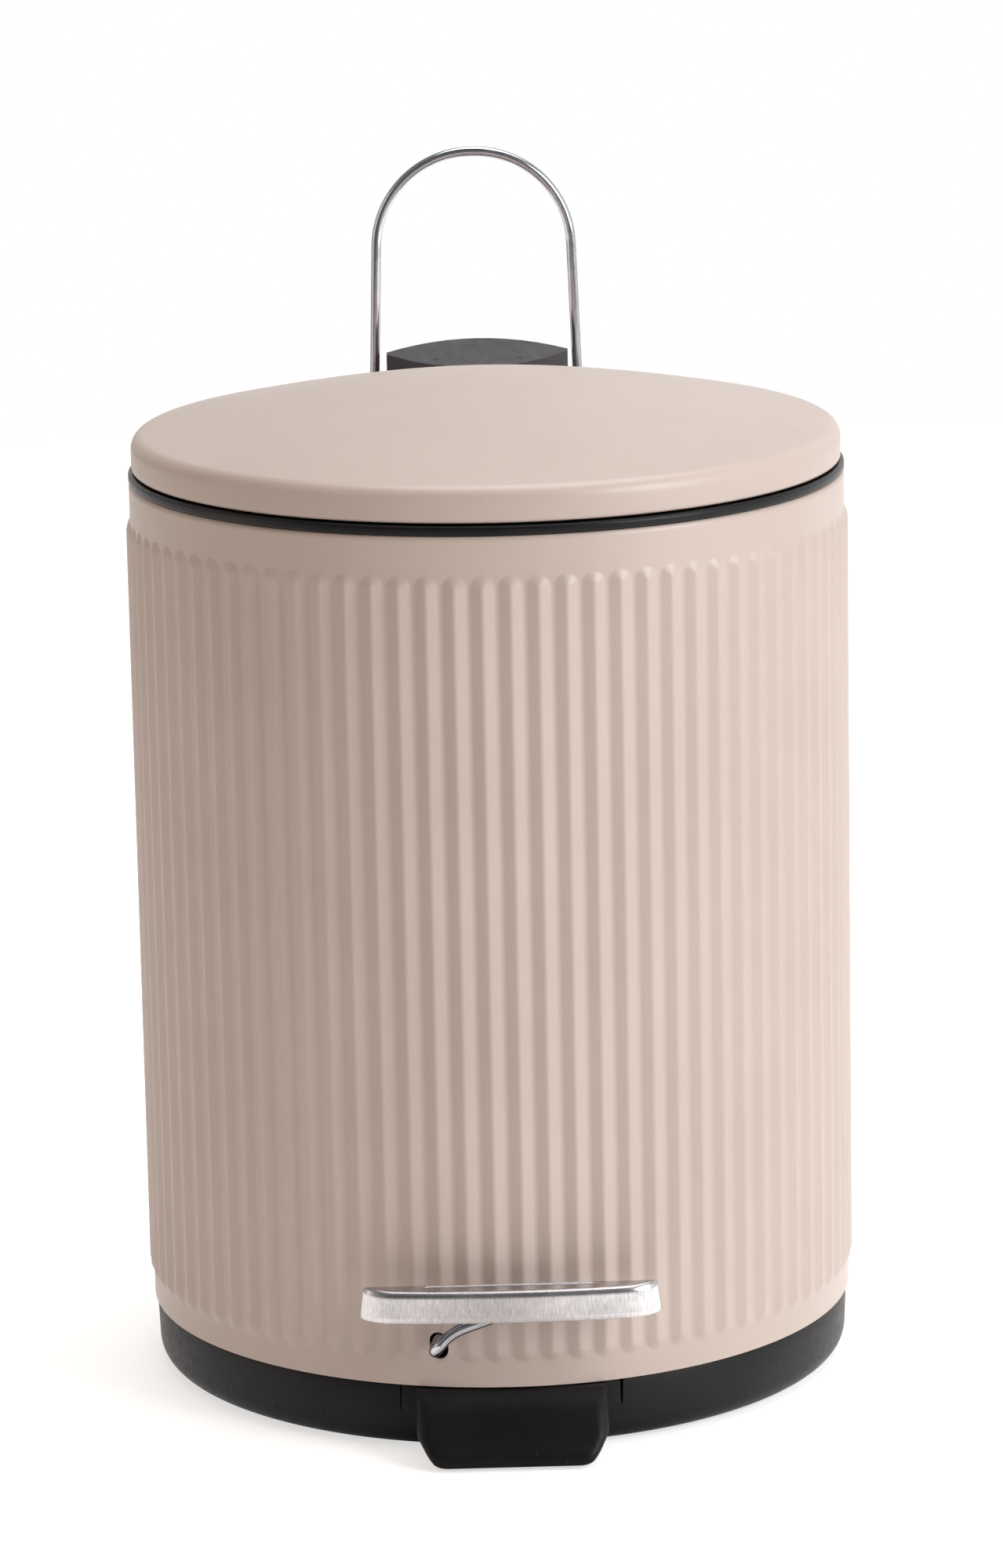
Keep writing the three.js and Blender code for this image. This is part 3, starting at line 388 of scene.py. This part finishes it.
def flute(share, z, number):
    """Rise of a pressed flute at a share of its pitch: two flanks, a tight crest and ends that fade out."""
    if number in SEAM_FLUTES:
        return 0.0
    end, foot, round_top, round_foot = 3.4, 0.47, 0.07, 0.06
    over = max(0.0, z - (FLUTE_HIGH - end), FLUTE_LOW + end - z) / end * foot
    d = hypot(share - 0.5, over)
    slope = 1 / (foot - round_top / 2 - round_foot / 2)
    if d < round_top:
        drop = slope * d * d / (2 * round_top)
    elif d < foot - round_foot:
        drop = slope * (d - round_top / 2)
    else:
        drop = 1 - slope * max(0.0, foot - d) ** 2 / (2 * round_foot)
    return FLUTE_RISE * (1 - drop)


def fluted_loops():
    """Loops up the outside, over the bead and back down the inside of the body."""
    per_flute, end_step, end_rows = 20, 0.3, 13
    bead_r, bead_z = 2, SHELL_TOP - 1.6
    count = FLUTES * per_flute
    ends = [end_step * i for i in range(end_rows)]
    levels = [SHELL_BOTTOM + 0.1, SHELL_BOTTOM + 0.5, 22, 25] + [FLUTE_LOW + e for e in ends]
    levels += [70, 140, 200] + [FLUTE_HIGH - e for e in reversed(ends)] + [252, SHELL_TOP - 1.9]
    loops = []
    for z in levels:
        radii = [SHELL_R + flute(i % per_flute / per_flute, z, i // per_flute) for i in range(count)]
        loops.append([(r * cos(2 * pi * i / count), r * sin(2 * pi * i / count), z)
                      for i, r in enumerate(radii)])
    turns = [radians(a) for a in range(0, 49, 6)]
    plain = [(SHELL_R - bead_r * (1 - cos(a)), bead_z + bead_r * sin(a)) for a in turns]
    plain += [(SHELL_R - 0.78, SHELL_TOP - 0.06), (SHELL_R - 0.82, SHELL_TOP - 0.5),
              (SHELL_R - SHEET, SHELL_TOP - 2.2), (SHELL_R - SHEET, SHELL_BOTTOM + 0.3),
              (SHELL_R - 0.35, SHELL_BOTTOM)]
    loops += [circle(r, count, z) for r, z in plain]
    return loops + [loops[0]]


def outer_shell():
    shell = piece("fluted_shell", *grid(fluted_loops()), "bin_body", "powder_coat", COAT, ["outer_shell"],
                  sharp=60)
    hole_x, hole_low, hole_high, hole_r = -19.8, 29.95, 32.75, 2.55
    ring = arc(hole_x, hole_high, hole_r, 0, 180, 14) + arc(hole_x, hole_low, hole_r, 180, 360, 14)
    carve(shell, grid([[(x, y, z) for x, z in ring] for y in (-108, -92)], ends=True))
    fold = ((-2.5, 0.0), (-2.3, 0.45), (-1.9, 0.6), (1.9, 0.6), (2.3, 0.45), (2.5, 0.0))
    levels = (SHELL_BOTTOM + 0.1, SHELL_TOP - 0.6)
    seam = grid([[(x, SHELL_R + out, z) for x, out in fold] for z in levels], ends=True)
    piece("shell_seam", *seam, "bin_body", "powder_coat", COAT)


outer_shell()


# ---------------------------------------------------------------- lid

def dome(r, soft=8.0):
    """Height of the lid's skin, with a soft top."""
    def power(x):
        return (x * x + soft * soft) ** (DOME_POWER / 2) - soft ** DOME_POWER
    return LID_SHOULDER + DOME_RISE * (1 - power(r) / power(LID_CROWN))


def lid_outline(inset, rings=40, edge_steps=12):
    """The dome from near the axis, then the rounded edge down to the skirt."""
    start = pi / 2 - atan(DOME_RISE * DOME_POWER / LID_CROWN)
    end = LID_CROWN + LID_ROUND * cos(start)
    centre = dome(end) - LID_ROUND * sin(start)
    radii = [end * sin(pi / 2 * i / rings) for i in range(1, rings)]
    turns = [start * (1 - i / edge_steps) for i in range(edge_steps + 1)]
    r = LID_ROUND - inset
    top = [(x, dome(x) - inset) for x in radii]
    return top + [(LID_CROWN + r * cos(a), centre + r * sin(a)) for a in turns]


def lid_shell():
    hem = [(LID_R, LID_EDGE + 1.4), (LID_R - 0.05, LID_EDGE + 0.6), (LID_R - 0.3, LID_EDGE + 0.1),
           (LID_R - 0.6, LID_EDGE), (LID_R - 1.3, LID_EDGE), (LID_R - 1.6, LID_EDGE + 0.3),
           (LID_R - 1.6, LID_EDGE + 2.6), (LID_R - 1.2, LID_EDGE + 2.8), (LID_R - SHEET, LID_EDGE + 2.9)]
    profile = [(AXIS, dome(0))] + lid_outline(0) + hem + lid_outline(SHEET)[::-1] + [(AXIS, dome(0) - SHEET)]
    piece("lid_skin", *turned(profile), "lid", "powder_coat", COAT, ["lid_shell"], sharp=50)


lid_shell()


# ---------------------------------------------------------------- foot with its toe

def toe_levels():
    """Height, front, half width and corner radius of the toe, from the floor up."""
    front = [(FOOT_LIFT, -115.6), (1.15, -116.3), (1.7, -116.8), (3.0, -116.7), (4.2, -116.3), (5.0, -115.7),
             (5.7, -114.9), (6.6, -114.0), (8.0, -112.8), (10.0, -111.2), (12.0, -109.7), (14.0, -108.0),
             (15.5, -106.4), (16.6, -104.9), (17.6, -103.4), (18.3, -102.2), (18.8, -101.2)]
    for z, y in front:
        if z < 2:
            half = 21.6 + (z - FOOT_LIFT) * 1.0
        elif z < 8.4:
            half = 22.6 + (z - 2) * 0.63
        else:
            half = 26.63 - (z - 8.4) * 0.03
        deep = max(0.25, -y - 100.9)
        yield z, y, half, min(3.8, deep * 0.8)


def toe():
    """The toe from the floor up, its back inside the foot's wall."""
    back, spans = -90, 12
    loops = []
    for z, y, half, bend in toe_levels():
        left = arc(-half + bend, y + bend, bend, 180, 270, 8)
        right = arc(half - bend, y + bend, bend, 270, 360, 8)
        between_corners = [(-half + bend + (half - bend) * 2 * i / spans, y) for i in range(1, spans)]
        outline = [(-half, back)] + left + between_corners + right + [(half, back)]
        loops.append([(px, py, z) for px, py in outline])
    return grid(loops, ends=True)


def foot():
    """The foot's wall with its lower edge and slits, the lip inside the body, the tray floor and the toe."""
    edge_wide, edge_high, edge_steps = 4.6, 5.5, 14
    lip_out, lip_in, lip_top = 100.4, 98.5, 25.2
    floor_low, floor_top = 8, 10
    turns = [pi / 2 * i / edge_steps for i in range(edge_steps + 1)]
    edge = [(FOOT_R - 0.5 - edge_wide * (1 - sin(a)), FOOT_LIFT + edge_high * (1 - cos(a))) for a in turns]
    wall = [(FOOT_R - 0.05, 18.3), (FOOT_R - 0.35, 18.85), (lip_out, 18.9), (lip_out, lip_top - 0.4),
            (lip_out - 0.3, lip_top), (lip_in + 0.2, lip_top), (lip_in, lip_top - 0.3), (lip_in, 12.5)]
    tray = [(96.5, floor_top), (AXIS, floor_top), (AXIS, floor_low), (67, floor_low)]
    body = piece("foot_shell", *turned([(70, FOOT_LIFT)] + edge + wall + tray), "bin_body", "black_plastic",
                 BLACK, ["base_tray"], sharp=50)
    slit_x, slit_low, slit_high, taper = 30.6, 11.6, 19.5, 0.35
    slits = []
    for x, wide in ((-slit_x, 0.25), (slit_x, 0.45)):
        outline = ((wide, slit_high), (wide * taper, slit_low), (-wide * taper, slit_low), (-wide, slit_high))
        slits.append(grid([[(x - w, y, z) for w, z in outline] for y in (-110, -88)], ends=True))
    carve(body, *slits)
    piece("foot_toe", *toe(), "bin_body", "black_plastic", BLACK, sharp=60)


def rod_eye(z, reach):
    """Guide round the push rod, on a web that reaches back."""
    outer, bore, high = 3.3, 1.6, 7
    profile = ((outer, z), (outer, z + high), (bore, z + high), (bore, z), (outer, z))
    return [grid([circle(r, 32, level, ROD_Y) for r, level in profile]),
            block(-2.1, ROD_Y + 2.4, z, 2.1, reach, z + high)]


def foot_inside():
    """Saddles of the lever and the guide of the push rod, on the tray floor."""
    root, half_long, half_wide, rest = 9.5, 4.5, 3.25, PEDAL_Z - 0.15
    front, back = PEDAL_Y - half_long, PEDAL_Y + half_long
    seat = arc(PEDAL_Y, PEDAL_Z, 1.9, -5, -175, 12)
    outline = [(front, root), (back, root), (back, rest)] + seat + [(front, rest)]
    for side, x in (("left", -8), ("right", 8)):
        saddle = grid([[(x + dx, y, z) for y, z in outline] for dx in (-half_wide, half_wide)], ends=True)
        soften(piece(f"foot_saddle_{side}", *saddle, "bin_body", "black_plastic", BLACK))
    guide = joined(block(-5, ROD_Y + 3, root, 5, 99.5, 61), *rod_eye(54, ROD_Y + 3.5))
    soften(piece("foot_guide", *guide, "bin_body", "black_plastic", BLACK))


foot()
foot_inside()


# ---------------------------------------------------------------- rim ring

def rim_ring():
    wall_r, ledge_low, ledge_top = 94, 254.8, 256.8
    outside = [(99.0, 250.4), (100.5, 250.4), (100.5, 258.7), (101.3, 258.7), (101.5, 258.9)]
    outside += arc(100.5, RIM_TOP - 1.0, 1.0, 0, 90, 8)
    inside = [(95.4, RIM_TOP), (94.6, RIM_TOP - 0.3), (wall_r, RIM_TOP - 1), (wall_r, ledge_top),
              (86.8, ledge_top), (86.5, 256.5), (86.5, ledge_low), (95.5, ledge_low), (99.0, 252.8)]
    ring = piece("rim", *turned(outside + inside), "bin_body", "black_plastic", RIM, ["rim_ring"], sharp=40)
    carve(ring, block(-8, 82, 248, 8, 99, 262.5))
    guide_z, web_top = 238.4, 252.4
    tongue = joined(block(-2.4, 96.8, guide_z, 2.4, 98.8, web_top), block(-2.3, 97, 250.4, 2.3, 100, web_top),
                    *rod_eye(guide_z, 97.2))
    soften(piece("rim_guide", *tongue, "bin_body", "black_plastic", RIM))


rim_ring()


# ---------------------------------------------------------------- bucket

def bucket():
    """The bucket's wall with its flange, cut out for the push rod, and the two ears of the bail."""
    floor_z, top, flange = 52.6, 257.1, 258.6
    outer = [(AXIS, floor_z), (73.5, floor_z)] + arc(74.6, floor_z + 2.4, 2.4, -90, -2, 8)
    outer += [(84.1, top - 2.2), (84.6, top - 0.8), (85.6, top)]
    edge = [(92.7, top), (93, top + 0.3), (93, flange - 0.4), (92.6, flange)]
    edge += arc(84.4, flange - 1.4, 1.4, 90, 178, 8)
    inner = [(75.6, floor_z + 4.2)] + arc(72.6, floor_z + 4.5, 3.0, -2, -90, 8) + [(AXIS, floor_z + 1.5)]
    body = piece("bucket_body", *turned(outer + edge + inner, 192), "bucket", "bucket_plastic", BUCKET,
                 ["bucket"], sharp=50)
    carve(body, block(-9, 85, top - 1, 9, 95, flange + 1))
    ear_x, bore = 84.35, 1.55
    rim = []
    for a in (radians(10 * i) for i in range(36)):
        round_or_square = 3.35 if sin(a) >= 0 else min(3.6 / max(abs(cos(a)), 0.01), 3.65 / abs(sin(a)))
        rim.append((cos(a), sin(a), round_or_square))
    section = ((-1.2, 0.94), (-1.0, 1.0), (1.0, 1.0), (1.2, 0.94), (1.2, 0.0), (-1.2, 0.0), (-1.2, 0.94))
    for side, x in (("left", -ear_x), ("right", ear_x)):
        loops = [[(x + across, c * (reach * share or bore), BAIL_Z + s * (reach * share or bore))
                  for c, s, reach in rim] for across, share in section]
        piece(f"bucket_ear_{side}", *grid(loops), "bucket", "bucket_plastic", BUCKET, sharp=50)


bucket()


# ---------------------------------------------------------------- pedal plate

def plate_loop(inset, z, sides=12, spans=24):
    """The plate's plan at an inset: a straight back with tight corners, a bowed front with wide ones."""
    back_r = max(1.5 - inset, 0.4)
    front_r = PLATE_DEPTH - 2 * inset - back_r
    half, front, back = PLATE_WIDTH / 2 - inset, PLATE_FRONT + inset, PLATE_FRONT + PLATE_DEPTH - inset
    straight = half - front_r
    loop = arc(half - back_r, back - back_r, back_r, 0, 90, sides)
    loop += arc(-half + back_r, back - back_r, back_r, 90, 180, sides)
    loop += arc(-straight, front + front_r, front_r, 180, 270, sides)
    loop += [(-straight + straight * 2 * i / spans, front) for i in range(1, spans)]
    loop += arc(straight, front + front_r, front_r, 270, 360, sides)
    return [(x, y + PLATE_BOW * (x / half) ** 2 * max(0.0, 1 - (y - front) / (back - front)), z)
            for x, y in loop]


def pedal_plate():
    bottom, bend_r, flare = PLATE_TOP - PLATE_SKIRT, 2.2, 0.75

    def skin(inset):
        bend = bend_r - inset
        rows = [(0.0, bottom + 0.25), (0.12, bottom + 1.5), (flare, PLATE_TOP - 2.4)]
        rows += [(flare + bend * (1 - cos(a)), PLATE_TOP - bend_r + bend * sin(a))
                 for a in (radians(10 + 8 * i) for i in range(11))]
        return [plate_loop(i + inset, z) for i, z in rows]

    lip = [plate_loop(0.1, bottom), plate_loop(0.7, bottom)]
    plate = piece("pedal_pan", *grid(skin(0)[::-1] + lip + skin(0.8), ends=True), "pedal", "brushed_steel",
                  BRUSHED, ["pedal_plate"], sharp=50)
    panel_y, panel_x, panel_r = PLATE_FRONT + 5.2, 22.3, 2.2
    rows = []
    for lift, grow in ((1.0, 0.6), (0.0, 0.45), (-0.12, 0.2), (-0.35, -0.05)):
        ring = arc(panel_x, panel_y, panel_r + grow, -90, 90, 16)
        ring += arc(-panel_x, panel_y, panel_r + grow, 90, 270, 16)
        rows.append([(x, y, PLATE_TOP + lift) for x, y in ring])
    carve(plate, grid(rows, ends=True))


pedal_plate()


# ---------------------------------------------------------------- wires

def wires():
    plate_y, plate_z = PLATE_FRONT + PLATE_DEPTH / 2, PLATE_TOP - 0.8 - 0.3 - LEVER_D / 2
    end_y, slope = 88.5, 0.0675
    end_z = PEDAL_Z - (end_y - PEDAL_Y) * slope
    lever = [(29, plate_y, plate_z), (13, plate_y, plate_z), (-17, -113.5, 39.3), (-21.6, -114.2, 33.4),
             (-16, PEDAL_Y, PEDAL_Z), (16, PEDAL_Y, PEDAL_Z), (6, end_y, end_z), (-6, end_y, end_z)]
    piece("lever_wire", *wire(lever, [8, 14, 3.2, 4, 4, 3.5], LEVER_D, step=6), "pedal", "bright_wire", WIRE,
          ["pedal_lever"])
    top, arch = 28.4, 29
    foot = top + (HANDLE_TOP - HANDLE_LOW) * 0.0327
    handle = [(x, HANDLE_Y, z) for x, z in ((-foot + 9, HANDLE_LOW), (-foot, HANDLE_LOW), (-top, HANDLE_TOP),
                                            (top, HANDLE_TOP), (foot, HANDLE_LOW), (foot - 9, HANDLE_LOW))]
    piece("handle_wire", *wire(handle, [3, arch, arch, 3], HANDLE_D, 24, 3), "carry_handle", "bright_wire",
          WIRE, ["carry_handle"])
    r, tip = 88.7, 82.1
    bail = [(x, y, BAIL_Z) for x, y in ((-tip, 0), (-r, 0), (-r, -r), (r, -r), (r, 0), (tip, 0))]
    piece("bail_wire", *wire(bail, [3, r - 4, r - 4, 3], BAIL_D, 16, 3), "bucket_bail", "bright_wire", WIRE,
          ["bucket_bail"])


wires()


# ---------------------------------------------------------------- floor, light and camera

AMBIENT = 0.31  # level of the world on the object
FLOOR_GLOW = 0.62  # light that the floor adds for the camera, so that it shows white
WHITE = (1.0, 1.0, 1.0)
WARM_FILL, WARM_LAMP = (1.0, 0.79, 0.63), (1.0, 0.78, 0.62)


def shown_straight(tree, rays):
    """1 for rays from the camera, and for those through clear matter."""
    return compute(tree, "MAXIMUM", rays.outputs["Is Camera Ray"], rays.outputs["Is Transmission Ray"])


def axis(tree, space):
    """X, Y and Z of the coordinates in a space."""
    split = tree.nodes.new("ShaderNodeSeparateXYZ")
    tree.links.new(tree.nodes.new("ShaderNodeTexCoord").outputs[space], split.inputs[0])
    return split.outputs


def floor():
    """White to the camera, with the object's shadow; in reflections lit only to the left and right."""
    mat, tree, shader = new_material("floor")
    shader.inputs["Roughness"].default_value = 0.9
    shader.inputs["Specular IOR Level"].default_value = 0.0
    shade = noise(tree, coords(tree), 0.004, 2.0)
    feed(tree, shader.inputs["Base Color"], between(tree, shade, (0.86, 0.86, 0.86), (0.88, 0.88, 0.88)))
    rays = tree.nodes.new("ShaderNodeLightPath")
    x = axis(tree, "Object")["X"]
    spread = compute(tree, "ADD", remap(tree, x, 0.02, 0.09, 0.05, 0.95),
                     remap(tree, x, -0.09, -0.02, 0.65, 0.0))
    sheen = compute(tree, "MULTIPLY", rays.outputs["Is Glossy Ray"], spread)
    glow = compute(tree, "MULTIPLY_ADD", shown_straight(tree, rays), FLOOR_GLOW, sheen)
    shader.inputs["Emission Color"].default_value = (1, 1, 1, 1)
    feed(tree, shader.inputs["Emission Strength"], glow)
    bpy.ops.mesh.primitive_circle_add(vertices=96, radius=1.6, fill_type="NGON")
    disc = bpy.context.object
    disc.name = "floor"
    disc.data.materials.append(mat)


def world():
    """White to the camera; in reflections a white sweep, dimmer in front, overhead and at the left."""
    studio = bpy.data.worlds.new("studio")
    scene.world = studio
    studio.use_nodes = True
    tree = studio.node_tree
    back = tree.nodes["Background"]
    rays = tree.nodes.new("ShaderNodeLightPath")
    aim = axis(tree, "Generated")
    front = remap(tree, aim["Y"], -0.75, -0.25, 0.22, 1.0)
    over = remap(tree, aim["Z"], 0.35, 0.75, 1.0, 0.4)
    side = remap(tree, aim["X"], -0.7, 0.3, 0.55, 1.0)
    room = compute(tree, "MULTIPLY", front, compute(tree, "MULTIPLY", over, side))
    glossy = rays.outputs["Is Glossy Ray"]
    straight = shown_straight(tree, rays)
    feed(tree, back.inputs["Strength"], blend(tree, straight, blend(tree, glossy, AMBIENT, room), 1.0))
    plain = compute(tree, "MAXIMUM", straight, glossy)
    feed(tree, back.inputs["Color"], between(tree, plain, WARM_FILL, WHITE))


def softbox(name, at, toward, size, watts, color=WHITE):
    """A rectangular lamp that faces a point."""
    data = bpy.data.lights.new(name, "AREA")
    data.color = color
    data.shape, data.size, data.size_y, data.energy = "RECTANGLE", size[0], size[1], watts
    lamp = bpy.data.objects.new(name, data)
    scene.collection.objects.link(lamp)
    lamp.location = at
    lamp.rotation_euler = (Vector(toward) - Vector(at)).to_track_quat("-Z", "Y").to_euler()


def camera():
    """The photograph's camera, fitted in the photograph's pixels and turned about the object's axis."""
    turn, pitch, yaw, roll = radians(1.2), radians(13.03), 0.0017, 0.0192
    away, height, focal = 1.6673, 0.5534, 7594.2
    tall, right_by, up_by, sensor = 2000, -0.7, -2.6, 36
    forward = Vector((sin(yaw) * cos(pitch), cos(yaw) * cos(pitch), -sin(pitch)))
    right = Vector((cos(yaw), -sin(yaw), 0))
    down = forward.cross(right)
    spin = Matrix.Rotation(-turn, 3, "Z")
    forward, right, down, place = (spin @ v for v in (forward, right, down, Vector((0, -away, height))))
    x = right * cos(roll) + down * sin(roll)
    y = right * sin(roll) - down * cos(roll)
    data = bpy.data.cameras.new("camera")
    data.sensor_fit, data.sensor_width, data.sensor_height = "VERTICAL", sensor, sensor
    data.lens = focal * sensor / tall
    data.shift_x, data.shift_y = right_by / tall, up_by / tall
    data.clip_end = 50
    cam = bpy.data.objects.new("camera", data)
    scene.collection.objects.link(cam)
    cam.matrix_world = Matrix((x, y, -forward)).transposed().to_4x4()
    cam.matrix_world.translation = place
    scene.camera = cam


floor()
world()
softbox("key", at=(1.52, -1.08, 0.95), toward=(0, 0, 0.15), size=(0.9, 1.4), watts=25)
softbox("top", at=(0.2, 0.35, 1.9), toward=(0, 0, 0.2), size=(1.4, 1.4), watts=18)
softbox("left", at=(-1.9, -0.2, 0.6), toward=(0, 0, 0.15), size=(0.7, 1.4), watts=2.5, color=WARM_LAMP)
camera()

scene.view_settings.view_transform = "Standard"
